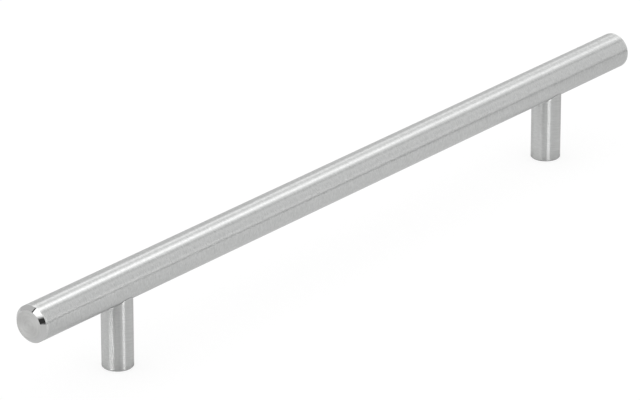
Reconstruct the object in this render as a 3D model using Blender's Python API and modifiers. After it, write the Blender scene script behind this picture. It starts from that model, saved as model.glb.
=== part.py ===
"""T bar cabinet pull: a round steel bar carried on two saddle-topped posts.

Units are metres and +Z points away from the door. The bar runs along X, the feet of the
posts stand at z = 0, and the origin lies on the door's face midway between the two posts.
"""

import math

import bpy

# The posts, whose tapped holes are the pull's fixing centres
HOLE_CENTRES = 0.224
POST_DIA = 0.010
FOOT_CHAMFER = 0.0004

# The bar, which runs on past each post's axis
BAR_OVERHANG = 0.0405
BAR_DIA = 0.012
BAR_END_CHAMFER = 0.0013
BAR_AXIS_HEIGHT = 0.027

# The M4 thread, taken as a plain wall at its pitch diameter
THREAD_PITCH_DIA = 0.003545
HOLE_MOUTH_CHAMFER = 0.0004
DRILL_POINT_ANGLE = math.radians(118)

# The joining studs
STUD_LENGTH = 0.012
STUD_DEPTH_IN_BAR = 0.006
STUD_END_CHAMFER = 0.0005
HEX_ACROSS_FLATS = 0.002
HEX_DEPTH = 0.0025

# Clearances
SEAT_GAP = 0.0003
HOLE_RUN_OUT = 0.001

# Facets round a turned piece, and round a tapped hole
ROUND_STEPS = 96
HOLE_STEPS = 32
MERGE = 0.00001
SHARP_ANGLE = math.radians(25)

# Worked out from the sizes above
BAR_LENGTH = HOLE_CENTRES + 2 * BAR_OVERHANG
BAR_RADIUS = BAR_DIA / 2
POST_RADIUS = POST_DIA / 2
STUD_RADIUS = THREAD_PITCH_DIA / 2
HOLE_RADIUS = STUD_RADIUS + SEAT_GAP
SADDLE_RADIUS = BAR_RADIUS + SEAT_GAP
BAR_UNDERSIDE = BAR_AXIS_HEIGHT - BAR_RADIUS
STUD_TOP = BAR_UNDERSIDE + STUD_DEPTH_IN_BAR
BAR_HOLE_TOP = STUD_TOP + HOLE_RUN_OUT
SIDES = {"left": -HOLE_CENTRES / 2, "right": HOLE_CENTRES / 2}


def new_collection(name):
    """Add an empty collection to the scene."""
    collection = bpy.data.collections.new(name)
    bpy.context.scene.collection.children.link(collection)
    return collection


def metal(name, colour, roughness):
    """A bare metal of one colour."""
    material = bpy.data.materials.new(name)
    material.use_nodes = True
    material.diffuse_color = (*colour, 1)
    shader = material.node_tree.nodes["Principled BSDF"]
    shader.inputs["Base Color"].default_value = (*colour, 1)
    shader.inputs["Metallic"].default_value = 1
    shader.inputs["Roughness"].default_value = roughness
    return material


def turned(name, profile, collection, steps=ROUND_STEPS, closed=False):
    """Turn a profile of (radius, height) points round Z, given down its outer side."""
    count = len(profile)
    edges = [(i, i + 1) for i in range(count - 1)]
    if closed:
        edges.append((count - 1, 0))
    mesh = bpy.data.meshes.new(name)
    mesh.from_pydata([(radius, 0, height) for radius, height in profile], edges, [])
    piece = bpy.data.objects.new(name, mesh)
    collection.objects.link(piece)
    screw = piece.modifiers.new("Turn", "SCREW")
    screw.axis = "Z"
    screw.angle = math.tau
    screw.steps = steps
    screw.render_steps = steps
    screw.use_merge_vertices = True
    screw.merge_threshold = MERGE
    return piece


def as_cutter(piece):
    """Keep a cutter out of the render and draw it as a wire."""
    piece.hide_render = True
    piece.display_type = "WIRE"
    return piece


def cut(piece, cutter):
    """Take the cutter's shape away from the piece."""
    difference = piece.modifiers.new("Cut " + cutter.name, "BOOLEAN")
    difference.operation = "DIFFERENCE"
    difference.solver = "EXACT"
    difference.object = cutter


def make_bar(collection, cutters, material):
    """The bar, chamfered at both ends, with a blind hole over each post."""
    half = BAR_LENGTH / 2
    profile = [
        (0, half),
        (BAR_RADIUS - BAR_END_CHAMFER, half),
        (BAR_RADIUS, half - BAR_END_CHAMFER),
        (BAR_RADIUS, -half + BAR_END_CHAMFER),
        (BAR_RADIUS - BAR_END_CHAMFER, -half),
        (0, -half),
    ]
    bar = turned("bar", profile, collection)
    bar.location = (0, 0, BAR_AXIS_HEIGHT)
    bar.rotation_euler = (0, math.radians(90), 0)
    for side, x in SIDES.items():
        cut(bar, make_bar_hole(side, x, cutters))
    bar.data.materials.append(material)
    return bar


def make_bar_hole(side, x, cutters):
    """Cutter for a blind hole: a drilled wall under the cone that the drill's point leaves."""
    point = HOLE_RADIUS / math.tan(DRILL_POINT_ANGLE / 2)
    profile = [
        (0, BAR_HOLE_TOP + point),
        (HOLE_RADIUS, BAR_HOLE_TOP),
        (HOLE_RADIUS, BAR_UNDERSIDE - BAR_RADIUS),
        (0, BAR_UNDERSIDE - BAR_RADIUS),
    ]
    hole = turned("bar_hole_" + side, profile, cutters, HOLE_STEPS)
    hole.location = (x, 0, 0)
    return as_cutter(hole)


def make_saddle(cutters):
    """Cutter for both posts' tops: the bar's own round, let out by the seat's gap."""
    half = BAR_LENGTH / 2
    profile = [(0, half), (SADDLE_RADIUS, half), (SADDLE_RADIUS, -half), (0, -half)]
    saddle = turned("saddle", profile, cutters)
    saddle.location = (0, 0, BAR_AXIS_HEIGHT)
    saddle.rotation_euler = (0, math.radians(90), 0)
    return as_cutter(saddle)


def make_post(side, x, saddle, collection, material):
    """A post with its tapped hole right through, turned up to the bar's axis, then saddled."""
    mouth = HOLE_RADIUS + HOLE_MOUTH_CHAMFER
    profile = [
        (HOLE_RADIUS, BAR_AXIS_HEIGHT),
        (POST_RADIUS, BAR_AXIS_HEIGHT),
        (POST_RADIUS, FOOT_CHAMFER),
        (POST_RADIUS - FOOT_CHAMFER, 0),
        (mouth, 0),
        (HOLE_RADIUS, HOLE_MOUTH_CHAMFER),
    ]
    post = turned("post_" + side, profile, collection, closed=True)
    post.location = (x, 0, 0)
    cut(post, saddle)
    post.data.materials.append(material)
    return post


def make_hex_socket(side, x, cutters):
    """Cutter for a stud's socket, open at the stud's lower end."""
    corner = HEX_ACROSS_FLATS / math.sqrt(3)
    low = STUD_TOP - STUD_LENGTH
    profile = [(0, low + HEX_DEPTH), (corner, low + HEX_DEPTH), (corner, low - HEX_DEPTH), (0, low - HEX_DEPTH)]
    socket = turned("hex_socket_" + side, profile, cutters, 6)
    socket.location = (x, 0, 0)
    return as_cutter(socket)


def make_stud(side, x, collection, cutters, material):
    """A headless stud, part in the bar and part in the post, with its socket downward."""
    low = STUD_TOP - STUD_LENGTH
    end_radius = STUD_RADIUS - STUD_END_CHAMFER
    profile = [
        (0, STUD_TOP),
        (end_radius, STUD_TOP),
        (STUD_RADIUS, STUD_TOP - STUD_END_CHAMFER),
        (STUD_RADIUS, low + STUD_END_CHAMFER),
        (end_radius, low),
        (0, low),
    ]
    stud = turned("joining_stud_" + side, profile, collection, HOLE_STEPS)
    stud.location = (x, 0, 0)
    cut(stud, make_hex_socket(side, x, cutters))
    stud.data.materials.append(material)
    return stud


def shade_round(piece):
    """Settle a turned and cut piece as one mesh, smooth its walls and keep its real edges sharp."""
    graph = bpy.context.evaluated_depsgraph_get()
    profile = piece.data
    mesh = bpy.data.meshes.new_from_object(piece.evaluated_get(graph))
    piece.modifiers.clear()
    piece.data = mesh
    bpy.data.meshes.remove(profile)
    mesh.name = piece.name
    mesh.shade_smooth()
    mesh.set_sharp_from_angle(angle=SHARP_ANGLE)


def main():
    """Build the pull."""
    for old in list(bpy.data.objects):
        bpy.data.objects.remove(old)
    pull = new_collection("T bar cabinet pull")
    cutters = new_collection("Cutters")

    bar_steel = metal("brushed_bar", (0.60, 0.60, 0.585), 0.30)
    post_steel = metal("brushed_post", (0.58, 0.58, 0.57), 0.32)
    stud_steel = metal("zinc_stud", (0.46, 0.47, 0.48), 0.38)

    saddle = make_saddle(cutters)
    pieces = [make_bar(pull, cutters, bar_steel)]
    for side, x in SIDES.items():
        pieces.append(make_post(side, x, saddle, pull, post_steel))
        pieces.append(make_stud(side, x, pull, cutters, stud_steel))
    for piece in pieces:
        shade_round(piece)


main()
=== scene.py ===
"""T bar cabinet pull: brushed bar, saddle-topped posts and threaded joining studs.

Units are metres, +Z is away from the door and the bar runs along X. Every turned piece is
a grid of points: rows run along its profile and columns run round its axis. A point's UV is
(distance along the profile, angle round the axis times the piece's radius), so U always
crosses the grain that the brushing belt and the lathe leave.
"""

import math

import bmesh
import bpy
import numpy as np
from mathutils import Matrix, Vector


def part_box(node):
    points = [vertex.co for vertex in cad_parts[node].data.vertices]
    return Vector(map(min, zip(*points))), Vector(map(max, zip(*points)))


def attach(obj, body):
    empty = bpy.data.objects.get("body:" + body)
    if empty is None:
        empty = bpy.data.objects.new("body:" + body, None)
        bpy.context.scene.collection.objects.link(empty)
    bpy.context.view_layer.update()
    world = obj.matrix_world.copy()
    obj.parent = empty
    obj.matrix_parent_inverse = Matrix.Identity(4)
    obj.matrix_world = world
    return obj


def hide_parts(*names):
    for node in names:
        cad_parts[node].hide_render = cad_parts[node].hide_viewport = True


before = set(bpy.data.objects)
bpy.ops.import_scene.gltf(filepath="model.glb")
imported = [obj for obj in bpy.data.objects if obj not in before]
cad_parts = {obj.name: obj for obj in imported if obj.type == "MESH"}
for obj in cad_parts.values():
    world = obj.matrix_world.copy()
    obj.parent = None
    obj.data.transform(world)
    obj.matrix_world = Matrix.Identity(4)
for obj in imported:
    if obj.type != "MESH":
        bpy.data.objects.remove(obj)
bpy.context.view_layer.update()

# Sizes read from the frame
BAR_LOW, BAR_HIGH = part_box("bar")
BAR_RADIUS = (BAR_HIGH.z - BAR_LOW.z) / 2
BAR_HALF = BAR_HIGH.x
AXIS_HEIGHT = (BAR_HIGH.z + BAR_LOW.z) / 2
POST_LOW, POST_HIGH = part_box("post_left")
POST_RADIUS = (POST_HIGH.x - POST_LOW.x) / 2
STUD_LOW, STUD_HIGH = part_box("joining_stud_left")
SIDES = {
    side: sum(corner.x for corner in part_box("post_" + side)) / 2 for side in ("left", "right")
}

# Turned edges
END_CHAMFER = 0.0013
END_EDGE_RADIUS = 0.00008
FOOT_CHAMFER = 0.0004
FOOT_EDGE_RADIUS = 0.00010
SADDLE_EDGE = 0.00010
SADDLE_GAP = 0.00004

# Rings left by the facing tool, the fine ones' pitch and depth as shares of the coarse ones'
LATHE_RING_PITCH = 0.00034
LATHE_RING_DEPTH = 0.000004
FINE_RING_PITCH = 0.43
FINE_RING_DEPTH = 0.5
FINE_RING_START = 1.3

# M4 coarse thread and the holes that are tapped with it
PITCH = 0.0007
PITCH_RADIUS = 0.0017725
SHARP_HALF_HEIGHT = 0.000303
STUD_CREST = 0.0020
STUD_ROOT = 0.00157
THREAD_PLAY = 0.00003
BORE_CREST = 0.00165
BORE_ROOT = 0.00203
MOUTH_RADIUS = 0.0023
DRILL_POINT_ANGLE = math.radians(118)
HOLE_RUN_OUT = 0.001

# The stud's ends and socket, with the cup's radius as a share of its end's
STUD_END_CHAMFER = 0.0005
CUP_SHARE = 0.6
CUP_DEPTH = 0.0004
HEX_ACROSS_FLATS = 0.0020
HEX_DEPTH = 0.0025
HEX_LEAD_IN = 0.0001
HEX_FLOOR_CONE = 0.0003

# Columns round each piece
BAR_COLUMNS = 144
HOLE_COLUMNS = 96
POST_COLUMNS = 96

# Rows along each stretch of a profile
FACE_ROWS = 70
BAR_WALL_ROWS = 61
FOOT_ROWS = 28
POST_WALL_ROWS = 40
SADDLE_ROWS = 14
ARC_ROWS = 5
ROWS_PER_TURN = 12

# The square patch of the bar's underside that each hole opens in
PATCH_CELLS = HOLE_COLUMNS // 4
PATCH_ROWS = 7
PATCH_HALF = 0.0032
PATCH_MARGIN = 0.0004

# Limits that tell points, faces and edges apart
WELD = 1e-7
DECIMALS = 9
SKIN = 0.00003
END_NORMAL = 0.9
SHARP_ANGLE = math.radians(28)

# The finishes: bare_metal says what each value means
FINISHES = {
    "brushed_bar_steel": {
        "dark": (0.42, 0.426, 0.422),
        "light": (0.67, 0.676, 0.672),
        "roughness": 0.33,
        "stretch": 1.0,
        "depth": 0.0000014,
        "grain": {"Scratch": 8000, "Streak": 2800, "Length": 1000, "Contrast": 1.9},
    },
    "brushed_post_steel": {
        "dark": (0.43, 0.435, 0.431),
        "light": (0.64, 0.646, 0.641),
        "roughness": 0.38,
        "stretch": 1.0,
        "depth": 0.0000014,
        "grain": {"Scratch": 9000, "Streak": 3400, "Length": 800, "Contrast": 1.3},
    },
    "polished_chamfer_steel": {
        "dark": (0.50, 0.502, 0.500),
        "light": (0.55, 0.552, 0.550),
        "roughness": 0.09,
        "stretch": 0.3,
        "depth": 0.0000002,
        "grain": {"Scratch": 14000, "Streak": 6000, "Length": 200, "Contrast": 0.6},
    },
    "turned_face_steel": {
        "dark": (0.43, 0.431, 0.426),
        "light": (0.56, 0.561, 0.554),
        "roughness": 0.36,
        "stretch": 0.5,
        "depth": 0.000005,
        "grain": {"Scratch": 9000, "Streak": 2600, "Length": 260, "Contrast": 1.8},
    },
    "tapped_thread_steel": {
        "dark": (0.36, 0.361, 0.358),
        "light": (0.52, 0.521, 0.517),
        "roughness": 0.30,
        "stretch": 0.6,
        "depth": 0.000002,
        "grain": {"Scratch": 16000, "Streak": 7000, "Length": 500, "Contrast": 1.2},
    },
    "zinc_plate": {
        "dark": (0.40, 0.41, 0.43),
        "light": (0.56, 0.57, 0.59),
        "roughness": 0.34,
        "stretch": 0.2,
        "depth": 0.000002,
        "grain": {"Scratch": 6000, "Streak": 2500, "Length": 900, "Contrast": 1.2},
    },
}
CUT_FINISHES = ("polished_chamfer_steel", "turned_face_steel", "tapped_thread_steel")
EDGE_TINT = 0.85

# How far each kind of mark lightens the metal, and how wide an edge's band is; the lighter band at the
# edges is edge wear and a painted highlight
STREAK_SHARE = 0.60
SCRATCH_SHARE = 0.25
CLOUD_SHARE = 0.15
EDGE_WEAR_AND_HIGHLIGHT_SHARE = 0.25
EDGE_REACH = 0.00025

# How far the marks change the roughness, and how high a streak stands beside a scratch
ROUGHNESS_SPREAD = 0.10
STREAK_RELIEF = 2.0

# The noise behind the marks, with the streaks' and clouds' counts as shares of Length
NOISE_ROUGHNESS = 0.6
NOISE_MIDDLE = 0.5
STREAK_RATE = 0.9
CLOUD_RATE = 0.35
CLOUD_RATE_ACROSS = 1.5

# Where the picture was taken from, with the sensor and lens in millimetres
IMAGE_WIDTH = 640
IMAGE_HEIGHT = 400
SENSOR_WIDTH = 36
FOCAL_LENGTH_PX = 4990
CAMERA_AZIMUTH = math.radians(-52.3)
CAMERA_ELEVATION = math.radians(21.44)
CAMERA_DISTANCE = 1.595
CLIP_START = 0.05
CLIP_END = 200
BAR_CENTRE_PX = (342.6, 177.5)

# The sky and the floor, with strengths where 1 is white
SKY_STRENGTH = 0.96
FLOOR_REACH = 40
FLOOR_COLOUR = 0.30
FLOOR_GLOW = 0.74

# The pool of light: its middle, how far off it starts and stops dimming, and by how much
FLOOR_POOL_X = 0.02
FLOOR_POOL = (0.065, 0.235)
FLOOR_FALLOFF = 0.24

# Painted shadow round each foot: a dark sheet under it, seen only in the metal, stands in for the
# contact shadow there
FOOT_SHADE = 0.50
FOOT_SHADE_HALF = 0.0066
FOOT_SHADE_Z = 0.00005

# The tent's roof: its bands run askew to the bar, and rise and fade along it
ROOF_Z = 0.50
ROOF_CORNERS = [(-0.42, -0.9), (2.0, -0.9), (2.0, 1.5), (-0.15, 1.5)]
ROOF_FRONT = 1.06
ROOF_SKEW = 0.085
ROOF_SKEW_FROM = 0.52
ROOF_RISE = (-0.45, 0.05)
ROOF_FADE = (0.05, 0.68)
ROOF_STEPS = [
    # where it starts and ends, and the strength that it adds
    (0.05, 0.2, 0.18),
    (0.27, 0.50, -0.29),
]
ROOF_BANDS = [
    # how far back, width, strength, and how many times over it fades towards its ends
    (0.0, 0.08, 1.93, 1),
    (0.285, 0.065, 1.40, 2),
    (0.29, 0.06, 0.18, 0),
    (1.0, 0.30, 0.27, 1),
    (0.26, 0.03, -0.05, 0),
    (-0.215, 0.045, -0.36, 0),
]

# The tent's walls, in degrees from the -Y side round towards the +X end
STANDING_CARDS = [
    # name, azimuth, distance, from and to across, lowest and highest, strength
    ("front_skirting", 0, 0.50, (0.48, 1.5), (0.0, 0.078), 1.18),
    ("left_skirting", 0, 0.50, (-1.5, 0.48), (0.0, 0.078), 0.16),
    ("right_skirting", 0, 0.49, (0.62, 1.5), (0.0, 0.16), 0.70),
    ("front_fill", 0, 0.52, (0.02, 0.62), (0.16, 0.42), 1.10),
    ("back_wall", 180, 2.2, (-2.2, 2.2), (0.0, 1.0), 0.80),
    ("tent_opening", -52.3, 0.80, (-0.40, 0.22), (0.0, 0.35), 0.06),
    ("opening_sill", -52.3, 0.79, (-0.40, 0.22), (0.0, 0.05), 0.50),
    ("opening_lip", -52.3, 0.80, (-0.40, 0.22), (0.35, 0.42), 0.50),
    ("softbox_lip", -72.3, 0.80, (-0.50, 0.42), (0.47, 0.55), 1.5),
    ("opening_softbox", -72.3, 0.80, (-0.50, 0.42), (0.55, 1.5), 2.0),
    ("softbox_rim", -72.3, 0.81, (-0.70, -0.40), (0.47, 1.7), 0.02),
    ("left_back_wall", -145, 0.70, (-0.60, 0.455), (0.12, 1.6), 0.79),
    ("left_kicker", -145, 0.69, (-0.28, 0.47), (0.0, 0.06), 3.0),
    ("left_strip", -47.2, 0.241, (-0.388, -0.166), (0.0, 0.018), 13.0),
    ("left_flag", -90, 0.200, (-0.035, 0.03), (0.0148, 0.027), 0.80),
    ("right_strip", -65.3, 0.292, (0.208, 0.431), (0.0, 0.17), 4.4),
]


# Profiles and grids


def rounded(corners, radii):
    """A polyline with each corner turned on an arc.

    The arc of radius r at a corner whose sides meet at angle a starts and ends r / tan(a / 2)
    from the corner, and is drawn as the quadratic curve between those points.
    """
    points = [np.array(corners[0], float)]
    for before, corner, after, radius in zip(corners, corners[1:], corners[2:], radii):
        before, corner, after = (np.array(point, float) for point in (before, corner, after))
        back = (before - corner) / np.linalg.norm(before - corner)
        ahead = (after - corner) / np.linalg.norm(after - corner)
        angle = math.acos(float(np.clip(back @ ahead, -1, 1)))
        reach = radius / math.tan(angle / 2)
        start, end = corner + back * reach, corner + ahead * reach
        share = np.linspace(0, 1, ARC_ROWS)[:, None]
        points.extend((1 - share) ** 2 * start + 2 * share * (1 - share) * corner + share**2 * end)
    points.append(np.array(corners[-1], float))
    return np.array(points)


def lathe_rings(radius):
    """Height of the rings that a facing tool leaves: two sines of the radius, never below 0."""
    coarse = np.sin(math.tau * radius / LATHE_RING_PITCH)
    fine = np.sin(math.tau * radius / (LATHE_RING_PITCH * FINE_RING_PITCH) + FINE_RING_START)
    highest = 1 + FINE_RING_DEPTH
    return LATHE_RING_DEPTH * (highest + coarse + FINE_RING_DEPTH * fine) / (2 * highest)


def thread(angle, height, pitch_radius, root, crest):
    """Radius of a right-hand thread, cut off at its root and its crest.

    It is a triangle wave of the height over the pitch less the angle over a full turn.
    """
    turn = (height / PITCH - angle / math.tau) % 1
    wave = 1 - 4 * np.abs(turn - 0.5)
    return np.clip(pitch_radius + SHARP_HALF_HEIGHT * wave, root, crest)


def bore_thread(angle, height):
    """Radius of the tapped holes, which clear the stud's thread by the play between them."""
    return thread(angle, height, PITCH_RADIUS + THREAD_PLAY, BORE_CREST, BORE_ROOT)


def grid(points, uv, keep=None):
    """Corners, quads and UVs of a grid of rows and columns whose last column meets its first.

    The quad at (row, column) joins it to the next row and the next column. keep is a mask
    of the quads that stay, and uv has one column more than points, for the seam.
    """
    rows, columns = points.shape[:2]
    row, column = np.meshgrid(np.arange(rows - 1), np.arange(columns), indexing="ij")
    if keep is not None:
        row, column = row[keep], column[keep]
    row, column = row.ravel(), column.ravel()
    beside = (column + 1) % columns
    quads = np.stack([row * columns + column, row * columns + beside], 1)
    quads = np.concatenate([quads, quads[:, ::-1] + columns], 1)
    corners = [uv[row, column], uv[row, column + 1], uv[row + 1, column + 1], uv[row + 1, column]]
    return points.reshape(-1, 3), quads, np.stack(corners, 1)


def along(points):
    """Distance run down each column of a grid from its first row."""
    steps = np.linalg.norm(np.diff(points, axis=0), axis=2)
    return np.concatenate([np.zeros((1, points.shape[1])), np.cumsum(steps, axis=0)])


def seam(values):
    """A grid of values with its first column repeated past its last."""
    return np.concatenate([values, values[:, :1]], axis=1)


def whole_turn(columns):
    """Angles of the columns round an upright axis, from +X, and a last one for the seam."""
    return np.linspace(0, math.tau, columns + 1)


def round_upright(x, radius, turn, height):
    """Points round an upright axis at x: (x + radius cos turn, radius sin turn, height)."""
    return np.stack([x + radius * np.cos(turn), radius * np.sin(turn), height], -1)


def upright_grid(points, arc):
    """A grid round an upright axis; arc is the distance round it at each column and the seam."""
    run = seam(along(points))
    return grid(points, np.stack([run, np.broadcast_to(arc, run.shape)], -1))


def welded_mesh(name, grids, marks):
    """One closed mesh from several grids whose meeting points are merged.

    marks names the values that each grid carries at its points, such as how near an edge it is.
    """
    starts = np.cumsum([0] + [len(points) for points, _, _ in grids])
    points = np.concatenate([points for points, _, _ in grids])
    quads = np.concatenate([quads + start for (_, quads, _), start in zip(grids, starts)])
    uv = np.concatenate([corners for _, _, corners in grids]).reshape(-1, 2)
    mesh = bpy.data.meshes.new(name)
    mesh.from_pydata(points, [], quads)
    mesh.uv_layers.new(name="Grain").data.foreach_set("uv", uv.astype(np.float32).ravel())
    for mark, values in marks.items():
        layer = mesh.attributes.new(mark, "FLOAT", "POINT")
        layer.data.foreach_set("value", np.concatenate(values).astype(np.float32))
    shape = bmesh.new()
    shape.from_mesh(mesh)
    bmesh.ops.remove_doubles(shape, verts=shape.verts, dist=WELD)
    bmesh.ops.recalc_face_normals(shape, faces=shape.faces)
    shape.to_mesh(mesh)
    shape.free()
    mesh.shade_smooth()
    mesh.set_sharp_from_angle(angle=SHARP_ANGLE)
    return mesh


def faces(mesh):
    """Every face's middle and outward normal, as two arrays."""
    middles = np.empty(len(mesh.polygons) * 3, np.float32)
    normals = np.empty_like(middles)
    mesh.polygons.foreach_get("center", middles)
    mesh.polygons.foreach_get("normal", normals)
    return middles.reshape(-1, 3), normals.reshape(-1, 3)


def finish(mesh, finishes, names, chosen):
    """Give a mesh its finishes; chosen is each face's number in the list of names."""
    for name in names:
        mesh.materials.append(finishes[name])
    mesh.polygons.foreach_set("material_index", chosen.astype(np.int32))
    mesh.update()


def place(name, mesh, node):
    """Show a finished mesh in place of its plain solid."""
    piece = bpy.data.objects.new(name, mesh)
    bpy.context.scene.collection.objects.link(piece)
    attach(piece, "root")
    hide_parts(node)


def near_edge(*distances):
    """1 on an edge, falling off as a bell curve of the distance from the nearest one."""
    return np.exp(-((np.minimum.reduce(distances) / EDGE_REACH) ** 2))


# The bar


def bar_end():
    """(distance from the end, radius) from the middle of an end face out over its chamfer.

    The face carries the lathe's rings, and both edges of the chamfer are rounded.
    """
    face = np.linspace(0, BAR_RADIUS - END_CHAMFER - END_EDGE_RADIUS * 2, FACE_ROWS)
    corners = [
        (0, face[-1]),
        (0, BAR_RADIUS - END_CHAMFER),
        (END_CHAMFER, BAR_RADIUS),
        (2 * END_CHAMFER, BAR_RADIUS),
    ]
    chamfer = rounded(corners, [END_EDGE_RADIUS, END_EDGE_RADIUS])
    return np.concatenate([np.stack([lathe_rings(face), face], 1)[:-1], chamfer])


def bar_profile():
    """(x, radius) down the bar from the middle of one end face to the middle of the other.

    The wall's rows are evenly spread, and give way to each patch's own rows where they meet.
    """
    end = bar_end()
    wall_end = BAR_HALF - 2 * END_CHAMFER
    even = np.linspace(-wall_end, wall_end, BAR_WALL_ROWS)[1:-1]
    patches = [np.linspace(x - PATCH_HALF, x + PATCH_HALF, PATCH_CELLS + 1) for x in SIDES.values()]
    wall = np.unique(np.round(np.concatenate([even, *patches]), DECIMALS))
    in_the_way = np.zeros(len(wall), bool)
    for x, patch in zip(SIDES.values(), patches):
        close = np.abs(wall - x) < PATCH_HALF + PATCH_MARGIN
        in_the_way |= close & (np.abs(wall[:, None] - patch).min(1) > WELD)
    wall = wall[~in_the_way]
    left = np.stack([end[:, 0] - BAR_HALF, end[:, 1]], 1)
    right = np.stack([BAR_HALF - end[::-1, 0], end[::-1, 1]], 1)
    return np.concatenate([left, np.stack([wall, np.full_like(wall, BAR_RADIUS)], 1), right])


def round_bar(x, radius, angle):
    """Points round the bar: angle 0 is its underside and a quarter turn is its +Y side."""
    height = AXIS_HEIGHT - radius * np.cos(angle)
    return np.stack(np.broadcast_arrays(x, radius * np.sin(angle), height), -1)


def bar_wall(profile):
    """The bar's whole outside without its two patches, and the distance run down its profile.

    Each row is a circle round the bar's axis, at one point of the profile.
    """
    angle = np.linspace(-math.pi, math.pi, BAR_COLUMNS + 1)
    points = round_bar(profile[:, :1], profile[:, 1:], angle[:-1])
    run = np.concatenate([[0], np.cumsum(np.linalg.norm(np.diff(profile, axis=0), axis=1))])
    uv = np.stack(np.broadcast_arrays(run[:, None], angle * BAR_RADIUS), -1)
    middle = (profile[1:, 0] + profile[:-1, 0]) / 2
    over_hole = np.min([np.abs(middle - x) for x in SIDES.values()], axis=0) < PATCH_HALF
    column = np.arange(BAR_COLUMNS) + 0.5 - BAR_COLUMNS / 2
    keep = ~(over_hole[:, None] & (np.abs(column) < PATCH_CELLS / 2))
    return grid(points, uv, keep), run


def hole_patch(x, run_at_x):
    """The bar's underside round one hole: a grid from the patch's edge in to the hole's mouth.

    Edge and mouth both start at minus 45 degrees and run anticlockwise, seen from above, and
    each row is a share of the way from one to the other, laid on the bar's own round. The
    mouth's points and their turns come with it.
    """
    half_angle = math.pi * PATCH_CELLS / BAR_COLUMNS
    side = np.linspace(-1, 1, PATCH_CELLS + 1)[:-1]
    one = np.ones(PATCH_CELLS)
    edge_x = x + PATCH_HALF * np.concatenate([one, -side, -one, side])
    edge_y = BAR_RADIUS * np.sin(half_angle * np.concatenate([side, one, -side, -one]))
    turn = np.linspace(-math.pi / 4, math.tau - math.pi / 4, HOLE_COLUMNS + 1)[:-1]
    mouth_x = x + MOUTH_RADIUS * np.cos(turn)
    mouth_y = MOUTH_RADIUS * np.sin(turn)
    share = np.linspace(0, 1, PATCH_ROWS)[:, None]
    row_x = edge_x + (mouth_x - edge_x) * share
    row_y = edge_y + (mouth_y - edge_y) * share
    row_z = AXIS_HEIGHT - np.sqrt(BAR_RADIUS**2 - row_y**2)
    points = np.stack([row_x, row_y, row_z], -1)
    uv = np.stack([row_x - x + run_at_x, np.arcsin(row_y / BAR_RADIUS) * BAR_RADIUS], -1)
    return grid(points, seam(uv)), points[-1], turn


def blind_hole(mouth, turn, x):
    """A tapped hole from its mouth up to the cone that the drill's point leaves.

    Its radius is the thread's, let out by a 45 degree countersink at the mouth and plain over
    the last pitch.
    """
    top = STUD_HIGH.z + HOLE_RUN_OUT
    rows = int(ROWS_PER_TURN * (top - mouth[:, 2].min()) / PITCH)
    height = mouth[:, 2] + (top - mouth[:, 2]) * np.linspace(0, 1, rows)[:, None]
    depth = height - mouth[:, 2]
    radius = np.maximum(bore_thread(turn, height), MOUTH_RADIUS - depth)
    radius = np.where(height > top - PITCH, np.minimum(radius, BORE_CREST), radius)
    cone = np.array([BORE_CREST / 2, 0.0])[:, None] * np.ones(HOLE_COLUMNS)
    cone_height = top + (BORE_CREST - cone) / math.tan(DRILL_POINT_ANGLE / 2)
    radius = np.concatenate([radius, cone])
    height = np.concatenate([height, cone_height])
    points = round_upright(x, radius, turn, height)
    uv = np.stack([along(points), np.broadcast_to(turn * BORE_ROOT, height.shape)], -1)
    return grid(points, seam(uv))


def bar_edges(points):
    """How near one of the chamfers' edges each point of the bar is."""
    radius = np.hypot(points[:, 1], points[:, 2] - AXIS_HEIGHT)
    from_end = BAR_HALF - np.abs(points[:, 0])
    outer = np.hypot(from_end - END_CHAMFER, radius - BAR_RADIUS)
    inner = np.hypot(from_end, radius - BAR_RADIUS + END_CHAMFER)
    return near_edge(outer, inner)


def make_bar(finishes):
    """The bar, with a polished chamfer and a turned face at each end and two tapped holes below."""
    profile = bar_profile()
    wall, run = bar_wall(profile)
    grids = [wall]
    for x in SIDES.values():
        patch, mouth, turn = hole_patch(x, float(np.interp(x, profile[:, 0], run)))
        grids += [patch, blind_hole(mouth, turn, x)]
    edges = [bar_edges(points) for points, _, _ in grids]
    mesh = welded_mesh("brushed_bar", grids, {"edge": edges})

    middle, normal = faces(mesh)
    radius = np.hypot(middle[:, 1], middle[:, 2] - AXIS_HEIGHT)
    at_end = BAR_HALF - np.abs(middle[:, 0]) < END_CHAMFER + END_EDGE_RADIUS
    faces_end = np.abs(normal[:, 0]) > END_NORMAL
    chamfer = at_end & ~faces_end & (radius > BAR_RADIUS - END_CHAMFER - END_EDGE_RADIUS)
    in_hole = ~at_end & (radius < BAR_RADIUS - SKIN)
    chosen = np.select([chamfer, at_end & faces_end, in_hole], [1, 2, 3], 0)
    finish(mesh, finishes, ("brushed_bar_steel", *CUT_FINISHES), chosen)
    place("brushed_bar", mesh, "bar")


# The posts


def saddle_height(y):
    """Height of a post's top at a distance from the bar's axis: a circle just under the bar."""
    return AXIS_HEIGHT - np.sqrt((BAR_RADIUS + SADDLE_GAP) ** 2 - y**2)


def post_foot():
    """(radius, height) from the hole's mouth over the foot's turned face and round its chamfer."""
    face = np.linspace(MOUTH_RADIUS, POST_RADIUS - FOOT_CHAMFER - 2 * FOOT_EDGE_RADIUS, FOOT_ROWS)
    corners = [
        (face[-1], 0),
        (POST_RADIUS - FOOT_CHAMFER, 0),
        (POST_RADIUS, FOOT_CHAMFER),
        (POST_RADIUS, 2 * FOOT_CHAMFER),
    ]
    chamfer = rounded(corners, [FOOT_EDGE_RADIUS, FOOT_EDGE_RADIUS])
    radius = np.concatenate([face[:-1], chamfer[:, 0]])
    height = np.concatenate([[0], lathe_rings(face[1:-1]), chamfer[:, 1]])
    return radius, height


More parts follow.
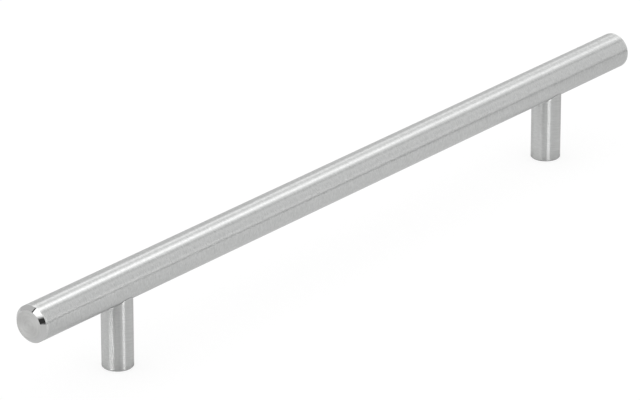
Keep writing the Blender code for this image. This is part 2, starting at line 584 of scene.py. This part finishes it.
def post_grid(x):
    """One post as a ring of rows: foot, wall, saddle and tapped bore, back to the foot.

    Each row of the wall is a share of the way up to the saddle, whose rim is turned over on a
    quarter circle. The bore's radius is the thread's, let out by a 45 degree countersink at
    both ends.
    """
    angle = whole_turn(POST_COLUMNS)
    turn = angle[:-1]
    ring = np.ones(POST_COLUMNS)
    foot, foot_height = (values[:, None] * ring for values in post_foot())

    rim = saddle_height(POST_RADIUS * np.sin(turn))
    share = np.linspace(0, 1, POST_WALL_ROWS)[1:, None]
    wall_height = 2 * FOOT_CHAMFER + (rim - SADDLE_EDGE - 2 * FOOT_CHAMFER) * share
    wall = np.full_like(wall_height, POST_RADIUS)
    bend = np.linspace(0, math.pi / 2, ARC_ROWS)[1:, None]
    edge = POST_RADIUS - SADDLE_EDGE * (1 - np.cos(bend)) * ring
    edge_height = saddle_height(edge * np.sin(turn)) - SADDLE_EDGE * (1 - np.sin(bend))
    saddle = np.linspace(POST_RADIUS - SADDLE_EDGE, MOUTH_RADIUS, SADDLE_ROWS)[1:, None] * ring
    top = saddle_height(saddle * np.sin(turn))

    mouth = top[-1]
    down = np.linspace(0, 1, int(ROWS_PER_TURN * mouth.max() / PITCH))[1:, None]
    bore_height = mouth * (1 - down)
    countersink = MOUTH_RADIUS - np.minimum(bore_height, mouth - bore_height)
    bore = np.maximum(bore_thread(turn, bore_height), countersink)

    radius = np.concatenate([foot, wall, edge, saddle, bore])
    height = np.concatenate([foot_height, wall_height, edge_height, top, bore_height])
    return upright_grid(round_upright(x, radius, turn, height), angle * POST_RADIUS)


def post_edges(points, x):
    """How near the foot's chamfer or the saddle's rim each point of a post is."""
    radius = np.hypot(points[:, 0] - x, points[:, 1])
    outer = np.hypot(radius - POST_RADIUS, points[:, 2] - FOOT_CHAMFER)
    inner = np.hypot(radius - POST_RADIUS + FOOT_CHAMFER, points[:, 2])
    rim = np.hypot(radius - POST_RADIUS, points[:, 2] - saddle_height(points[:, 1]))
    return near_edge(outer, inner, rim)


def make_post(side, x, finishes):
    """A post in one turned and tapped piece, saddled on top."""
    wall = post_grid(x)
    name = "turned_post_" + side
    mesh = welded_mesh(name, [wall], {"edge": [post_edges(wall[0], x)]})
    middle, _ = faces(mesh)
    radius = np.hypot(middle[:, 0] - x, middle[:, 1])
    chamfer = (middle[:, 2] < FOOT_CHAMFER) & (radius > POST_RADIUS - FOOT_CHAMFER)
    face = (radius > MOUTH_RADIUS) & (radius < POST_RADIUS - SKIN) & ~chamfer
    chosen = np.select([chamfer, face, radius < MOUTH_RADIUS], [1, 2, 3], 0)
    finish(mesh, finishes, ("brushed_post_steel", *CUT_FINISHES), chosen)
    place(name, mesh, "post_" + side)


# The joining studs


def hexagon(turn):
    """Radius of the socket's hexagon round a turn.

    It is half the distance across the flats over the cosine of the angle from a flat's middle.
    """
    from_flat = (turn + math.pi / 6) % (math.pi / 3) - math.pi / 6
    return HEX_ACROSS_FLATS / 2 / np.cos(from_flat)


def stud_grid(x):
    """One stud from the middle of its socket's floor, round its outside, to the middle of its top.

    The outside is the thread's radius, kept under a 45 degree chamfer at both ends, and the
    top is a flat rim with a cone sunk in it.
    """
    angle = whole_turn(HOLE_COLUMNS)
    turn = angle[:-1]
    ring = np.ones(HOLE_COLUMNS)
    low, high = STUD_LOW.z, STUD_HIGH.z
    flat = hexagon(turn)
    socket = [
        (0 * ring, low + HEX_DEPTH + HEX_FLOOR_CONE),
        (flat, low + HEX_DEPTH),
        (flat, low + HEX_DEPTH / 2),
        (flat, low + HEX_LEAD_IN),
        (flat + HEX_LEAD_IN, low),
    ]
    socket_radius = np.array([radius for radius, _ in socket])
    socket_height = np.array([height * ring for _, height in socket])

    end = STUD_CREST - STUD_END_CHAMFER
    rows = int(ROWS_PER_TURN * (high - low) / PITCH)
    thread_height = np.linspace(low, high, rows)[:, None] * ring
    chamfer = end + np.minimum(thread_height - low, high - thread_height)
    outside = thread(turn, thread_height, PITCH_RADIUS, STUD_ROOT, STUD_CREST)
    cup = np.array([CUP_SHARE * end, 0.0])[:, None] * ring
    cup_height = high - np.array([0.0, CUP_DEPTH])[:, None] * ring

    radius = np.concatenate([socket_radius, np.minimum(outside, chamfer), cup])
    height = np.concatenate([socket_height, thread_height, cup_height])
    return upright_grid(round_upright(x, radius, turn, height), angle * STUD_CREST)


def make_stud(side, x, finishes):
    """A headless stud with a rolled thread and a hex socket in its lower end."""
    name = "threaded_stud_" + side
    mesh = welded_mesh(name, [stud_grid(x)], {})
    finish(mesh, finishes, ("zinc_plate",), np.zeros(len(mesh.polygons)))
    place(name, mesh, "joining_stud_" + side)


# Materials


def new_group(name, inputs, outputs):
    """An empty shader node group with named number inputs and outputs."""
    group = bpy.data.node_groups.new(name, "ShaderNodeTree")
    for labels, direction in ((inputs, "INPUT"), (outputs, "OUTPUT")):
        for label in labels:
            group.interface.new_socket(label, in_out=direction, socket_type="NodeSocketFloat")
    group.nodes.new("NodeGroupInput")
    group.nodes.new("NodeGroupOutput")
    return group


def math_node(tree, operation, first, second=None, third=None):
    """A math node with its inputs linked, or set where they are numbers."""
    node = tree.nodes.new("ShaderNodeMath")
    node.operation = operation
    for socket, value in zip(node.inputs, (first, second, third)):
        if value is None:
            continue
        if isinstance(value, (int, float)):
            socket.default_value = value
        else:
            tree.links.new(value, socket)
    return node.outputs[0]


def noise_node(tree, vector, detail):
    """A noise texture that reads a vector as it comes."""
    noise = tree.nodes.new("ShaderNodeTexNoise")
    noise.inputs["Scale"].default_value = 1
    noise.inputs["Detail"].default_value = detail
    noise.inputs["Roughness"].default_value = NOISE_ROUGHNESS
    tree.links.new(vector, noise.inputs["Vector"])
    return noise.outputs["Fac"]


def metal_grain():
    """Grain left by a belt or a lathe, and the clouds of light and dark that lie over it.

    Each noise reads the distance along the profile times one number, plus the object's own
    coordinates times a smaller one. A mark is then one over the first number wide, across the
    profile, and about one over the second long, round the girth, and has no seam.
    """
    inputs = ("Scratch", "Streak", "Length", "Contrast")
    group = new_group("Metal grain", inputs, ("Scratches", "Streaks", "Clouds"))
    nodes, links = group.nodes, group.links
    given = nodes["Group Input"].outputs
    uv = nodes.new("ShaderNodeUVMap")
    uv.uv_map = "Grain"
    split = nodes.new("ShaderNodeSeparateXYZ")
    links.new(uv.outputs["UV"], split.inputs[0])
    on_piece = nodes.new("ShaderNodeTexCoord").outputs["Object"]

    def marks(across, along_girth, detail):
        """Noise at these two rates, spread about its middle by the contrast."""
        joined = nodes.new("ShaderNodeCombineXYZ")
        links.new(math_node(group, "MULTIPLY", split.outputs["X"], across), joined.inputs["X"])
        scaled = nodes.new("ShaderNodeVectorMath")
        scaled.operation = "SCALE"
        links.new(on_piece, scaled.inputs[0])
        links.new(along_girth, scaled.inputs["Scale"])
        added = nodes.new("ShaderNodeVectorMath")
        links.new(joined.outputs[0], added.inputs[0])
        links.new(scaled.outputs[0], added.inputs[1])
        offset = math_node(group, "SUBTRACT", noise_node(group, added.outputs[0], detail), NOISE_MIDDLE)
        spread = math_node(group, "MULTIPLY", offset, given["Contrast"])
        return math_node(group, "ADD", spread, NOISE_MIDDLE)

    length = given["Length"]
    streak_rate = math_node(group, "MULTIPLY", length, STREAK_RATE)
    cloud_rate = math_node(group, "MULTIPLY", length, CLOUD_RATE)
    cloud_rate_across = math_node(group, "MULTIPLY", length, CLOUD_RATE_ACROSS)
    out = nodes["Group Output"].inputs
    links.new(marks(given["Scratch"], length, detail=2), out["Scratches"])
    links.new(marks(given["Streak"], streak_rate, detail=1), out["Streaks"])
    links.new(marks(cloud_rate_across, cloud_rate, detail=2), out["Clouds"])
    return group


def mix_colours(tree, share, first, second):
    """A blend of two colours."""
    mix = tree.nodes.new("ShaderNodeMix")
    mix.data_type = "RGBA"
    sockets = {socket.identifier: socket for socket in mix.inputs}
    tree.links.new(share, sockets["Factor_Float"])
    sockets["A_Color"].default_value = (*first, 1)
    sockets["B_Color"].default_value = (*second, 1)
    return next(socket for socket in mix.outputs if socket.identifier == "Result_Color")


def bare_metal(name, group, dark, light, roughness, stretch, depth, grain):
    """A metal whose colour, roughness and relief follow the grain; it is smoother at its edges, and
    lighter there as edge wear and a painted highlight.

    dark and light are the colours that the grain runs between, stretch is how much the shine
    is drawn out across the grain, from 0 to 1, and depth is the height of the scratches in
    metres. grain holds the marks' own settings: counts of scratches and streaks in a metre
    along the profile, of marks in a metre round the girth, and their contrast.
    """
    material = bpy.data.materials.new(name)
    material.use_nodes = True
    tree = material.node_tree
    shader = tree.nodes["Principled BSDF"]
    shader.inputs["Metallic"].default_value = 1
    shader.inputs["Anisotropic"].default_value = stretch
    shader.inputs["Specular Tint"].default_value = (EDGE_TINT, EDGE_TINT, EDGE_TINT, 1)
    texture = tree.nodes.new("ShaderNodeGroup")
    texture.node_tree = group
    for label, value in grain.items():
        texture.inputs[label].default_value = value
    scratches, streaks, clouds = texture.outputs
    attribute = tree.nodes.new("ShaderNodeAttribute")
    attribute.attribute_name = "edge"
    edge = attribute.outputs["Fac"]

    shade = math_node(tree, "MULTIPLY", streaks, STREAK_SHARE)
    shade = math_node(tree, "MULTIPLY_ADD", scratches, SCRATCH_SHARE, shade)
    shade = math_node(tree, "MULTIPLY_ADD", clouds, CLOUD_SHARE, shade)
    # Lighter near the edges: edge wear and a painted highlight
    shade = math_node(tree, "MULTIPLY_ADD", edge, EDGE_WEAR_AND_HIGHLIGHT_SHARE, shade)
    tree.links.new(mix_colours(tree, shade, dark, light), shader.inputs["Base Color"])

    rough = roughness
    for mark in (clouds, scratches):
        offset = math_node(tree, "SUBTRACT", mark, NOISE_MIDDLE)
        rough = math_node(tree, "MULTIPLY_ADD", offset, ROUGHNESS_SPREAD, rough)
    rough = math_node(tree, "MULTIPLY_ADD", edge, -ROUGHNESS_SPREAD / 2, rough)
    tree.links.new(rough, shader.inputs["Roughness"])

    bump = tree.nodes.new("ShaderNodeBump")
    bump.inputs["Strength"].default_value = 1
    bump.inputs["Distance"].default_value = depth
    relief = math_node(tree, "MULTIPLY_ADD", streaks, STREAK_RELIEF, scratches)
    tree.links.new(relief, bump.inputs["Height"])
    tree.links.new(bump.outputs["Normal"], shader.inputs["Normal"])

    tangent = tree.nodes.new("ShaderNodeTangent")
    tangent.direction_type = "UV_MAP"
    tangent.uv_map = "Grain"
    tree.links.new(tangent.outputs["Tangent"], shader.inputs["Tangent"])
    return material


def make_finishes():
    """Every metal finish on the pull, by name."""
    group = metal_grain()
    return {name: bare_metal(name, group, **values) for name, values in FINISHES.items()}


# Studio


def flat_panel(name, corners, material):
    """A four-cornered sheet of the studio."""
    mesh = bpy.data.meshes.new(name)
    mesh.from_pydata([tuple(corner) for corner in corners], [], [(0, 1, 2, 3)])
    mesh.materials.append(material)
    panel = bpy.data.objects.new(name, mesh)
    bpy.context.scene.collection.objects.link(panel)
    return panel


def card(name, corners, material):
    """A sheet that only shows as a reflection in the metal."""
    sheet = flat_panel(name, corners, material)
    sheet.visible_camera = False
    sheet.visible_diffuse = False
    sheet.visible_transmission = False
    sheet.visible_shadow = False


def level_square(x, half, z):
    """The corners of a level square sheet whose middle is at (x, 0, z)."""
    return [(x - half, -half, z), (x + half, -half, z), (x + half, half, z), (x - half, half, z)]


def rightwards(azimuth):
    """The level direction to the right, seen from an azimuth."""
    return Vector((math.cos(azimuth), math.sin(azimuth), 0))


def standing_card(name, azimuth, distance, across, heights, material):
    """An upright card that faces the pull from an azimuth, seen as the camera's is."""
    azimuth = math.radians(azimuth)
    out = Vector((math.sin(azimuth), -math.cos(azimuth), 0)) * distance
    low, high = (Vector((0, 0, z)) for z in heights)
    left, right = (rightwards(azimuth) * reach for reach in across)
    corners = [out + left + low, out + right + low, out + right + high, out + left + high]
    card(name, corners, material)


def shining(name, matt=None):
    """A material that shines, over a matt grey if one is given, with its tree and strength."""
    material = bpy.data.materials.new(name)
    material.use_nodes = True
    tree = material.node_tree
    tree.nodes.clear()
    shine = tree.nodes.new("ShaderNodeEmission")
    surface = shine.outputs[0]
    if matt is not None:
        diffuse = tree.nodes.new("ShaderNodeBsdfDiffuse")
        diffuse.inputs["Color"].default_value = (matt, matt, matt, 1)
        added = tree.nodes.new("ShaderNodeAddShader")
        tree.links.new(diffuse.outputs[0], added.inputs[0])
        tree.links.new(surface, added.inputs[1])
        surface = added.outputs[0]
    out = tree.nodes.new("ShaderNodeOutputMaterial")
    tree.links.new(surface, out.inputs["Surface"])
    return material, tree, shine.inputs["Strength"]


def glow(name, strength):
    """A surface that shines evenly."""
    material, _, socket = shining(name)
    socket.default_value = strength
    return material


def on_sheet(tree):
    """The X, Y and Z of a point of a sheet, in metres, as sockets."""
    split = tree.nodes.new("ShaderNodeSeparateXYZ")
    tree.links.new(tree.nodes.new("ShaderNodeTexCoord").outputs["Object"], split.inputs[0])
    return split.outputs


def band(tree, value, centre, width):
    """1 where a value is at the centre of a band, falling off as a bell curve of that width."""
    offset = math_node(tree, "DIVIDE", math_node(tree, "SUBTRACT", value, centre), width)
    squared = math_node(tree, "MULTIPLY", offset, offset)
    return math_node(tree, "EXPONENT", math_node(tree, "MULTIPLY", squared, -1.0))


def step_up(tree, value, low, high):
    """0 below low, 1 above high and a smooth rise between them."""
    ramp = tree.nodes.new("ShaderNodeMapRange")
    ramp.interpolation_type = "SMOOTHSTEP"
    tree.links.new(value, ramp.inputs["Value"])
    ramp.inputs["From Min"].default_value = low
    ramp.inputs["From Max"].default_value = high
    return ramp.outputs["Result"]


def roof_glow():
    """The tent's roof: an even glow with brighter and darker bands along the pull.

    Its strength is a sum over Object coordinates in metres: each term is a gain times a bell
    curve or a smooth step of the distance back from a line that runs askew to the bar.
    """
    material, tree, strength = shining("tent_roof_glow")
    place_on_roof = on_sheet(tree)
    x, y = place_on_roof["X"], place_on_roof["Y"]
    from_pivot = math_node(tree, "SUBTRACT", x, ROOF_SKEW_FROM)
    back = math_node(tree, "MULTIPLY_ADD", from_pivot, -ROOF_SKEW, y)
    fade = math_node(tree, "SUBTRACT", step_up(tree, x, *ROOF_RISE), step_up(tree, x, *ROOF_FADE))
    total = ROOF_FRONT
    for low, high, gain in ROOF_STEPS:
        total = math_node(tree, "MULTIPLY_ADD", step_up(tree, back, low, high), gain, total)
    for centre, width, gain, fades in ROOF_BANDS:
        stripe = band(tree, back, centre, width)
        for _ in range(fades):
            stripe = math_node(tree, "MULTIPLY", stripe, fade)
        total = math_node(tree, "MULTIPLY_ADD", stripe, gain, total)
    tree.links.new(total, strength)
    return material


def white_floor():
    """Matt grey that also shines by itself to the camera and to the metal, so that it reads as white.

    What the metal sees of it is a pool of light under the pull that dims towards both its ends.
    """
    material, tree, strength = shining("white_floor", FLOOR_COLOUR)
    path = tree.nodes.new("ShaderNodeLightPath").outputs
    from_middle = math_node(tree, "SUBTRACT", on_sheet(tree)["X"], FLOOR_POOL_X)
    dimming = step_up(tree, math_node(tree, "ABSOLUTE", from_middle), *FLOOR_POOL)
    pool = math_node(tree, "MULTIPLY_ADD", dimming, -FLOOR_FALLOFF, 1.0)
    bounced = math_node(tree, "MAXIMUM", path["Is Glossy Ray"], path["Is Transmission Ray"])
    in_metal = math_node(tree, "MULTIPLY", bounced, pool)
    seen = math_node(tree, "MAXIMUM", path["Is Camera Ray"], in_metal)
    tree.links.new(math_node(tree, "MULTIPLY", seen, FLOOR_GLOW), strength)
    return material


def make_sky():
    """A world that is white to the camera and a little dimmer as light."""
    world = bpy.data.worlds.new("studio")
    world.use_nodes = True
    tree = world.node_tree
    sky = tree.nodes["Background"]
    sky.inputs["Color"].default_value = (1, 1, 1, 1)
    to_camera = tree.nodes.new("ShaderNodeLightPath").outputs["Is Camera Ray"]
    strength = math_node(tree, "MULTIPLY_ADD", to_camera, 1 - SKY_STRENGTH, SKY_STRENGTH)
    tree.links.new(strength, sky.inputs["Strength"])
    bpy.context.scene.world = world


def make_studio():
    """White sky and floor, and the tent of cards that only the metal sees."""
    make_sky()
    flat_panel("floor", level_square(0, FLOOR_REACH, 0), white_floor())
    # Painted shadow: dark sheets under the feet, seen only in the metal, stand in for the contact
    # shadow there
    shade = glow("foot_shade_glow", FOOT_SHADE)
    for side, x in SIDES.items():
        card("foot_shade_" + side, level_square(x, FOOT_SHADE_HALF, FOOT_SHADE_Z), shade)
    card("tent_roof", [(x, y, ROOF_Z) for x, y in ROOF_CORNERS], roof_glow())
    for name, azimuth, distance, across, heights, strength in STANDING_CARDS:
        standing_card(name, azimuth, distance, across, heights, glow(name + "_glow", strength))


def make_camera():
    """The camera, turned so that the middle of the bar falls where the picture has it."""
    level = math.cos(CAMERA_ELEVATION)
    back_x = math.sin(CAMERA_AZIMUTH) * level
    back_y = -math.cos(CAMERA_AZIMUTH) * level
    back = Vector((back_x, back_y, math.sin(CAMERA_ELEVATION)))
    right = rightwards(CAMERA_AZIMUTH)
    up = back.cross(right)
    middle = Vector((0, 0, AXIS_HEIGHT))
    metres_per_px = CAMERA_DISTANCE / FOCAL_LENGTH_PX
    across = (BAR_CENTRE_PX[0] - IMAGE_WIDTH / 2) * metres_per_px
    above = (IMAGE_HEIGHT / 2 - BAR_CENTRE_PX[1]) * metres_per_px
    aim = middle - right * across - up * above
    lens = bpy.data.cameras.new("camera")
    lens.sensor_width = SENSOR_WIDTH
    lens.lens = FOCAL_LENGTH_PX * SENSOR_WIDTH / IMAGE_WIDTH
    lens.clip_start = CLIP_START
    lens.clip_end = CLIP_END
    camera = bpy.data.objects.new("camera", lens)
    camera.location = middle + back * CAMERA_DISTANCE
    camera.rotation_mode = "QUATERNION"
    camera.rotation_quaternion = (camera.location - aim).to_track_quat("Z", "Y")
    bpy.context.scene.collection.objects.link(camera)
    bpy.context.scene.camera = camera


def main():
    """Dress the pull and set up the picture."""
    finishes = make_finishes()
    make_bar(finishes)
    for side, x in SIDES.items():
        make_post(side, x, finishes)
        make_stud(side, x, finishes)
    make_studio()
    make_camera()
    bpy.context.scene.view_settings.view_transform = "Standard"


main()
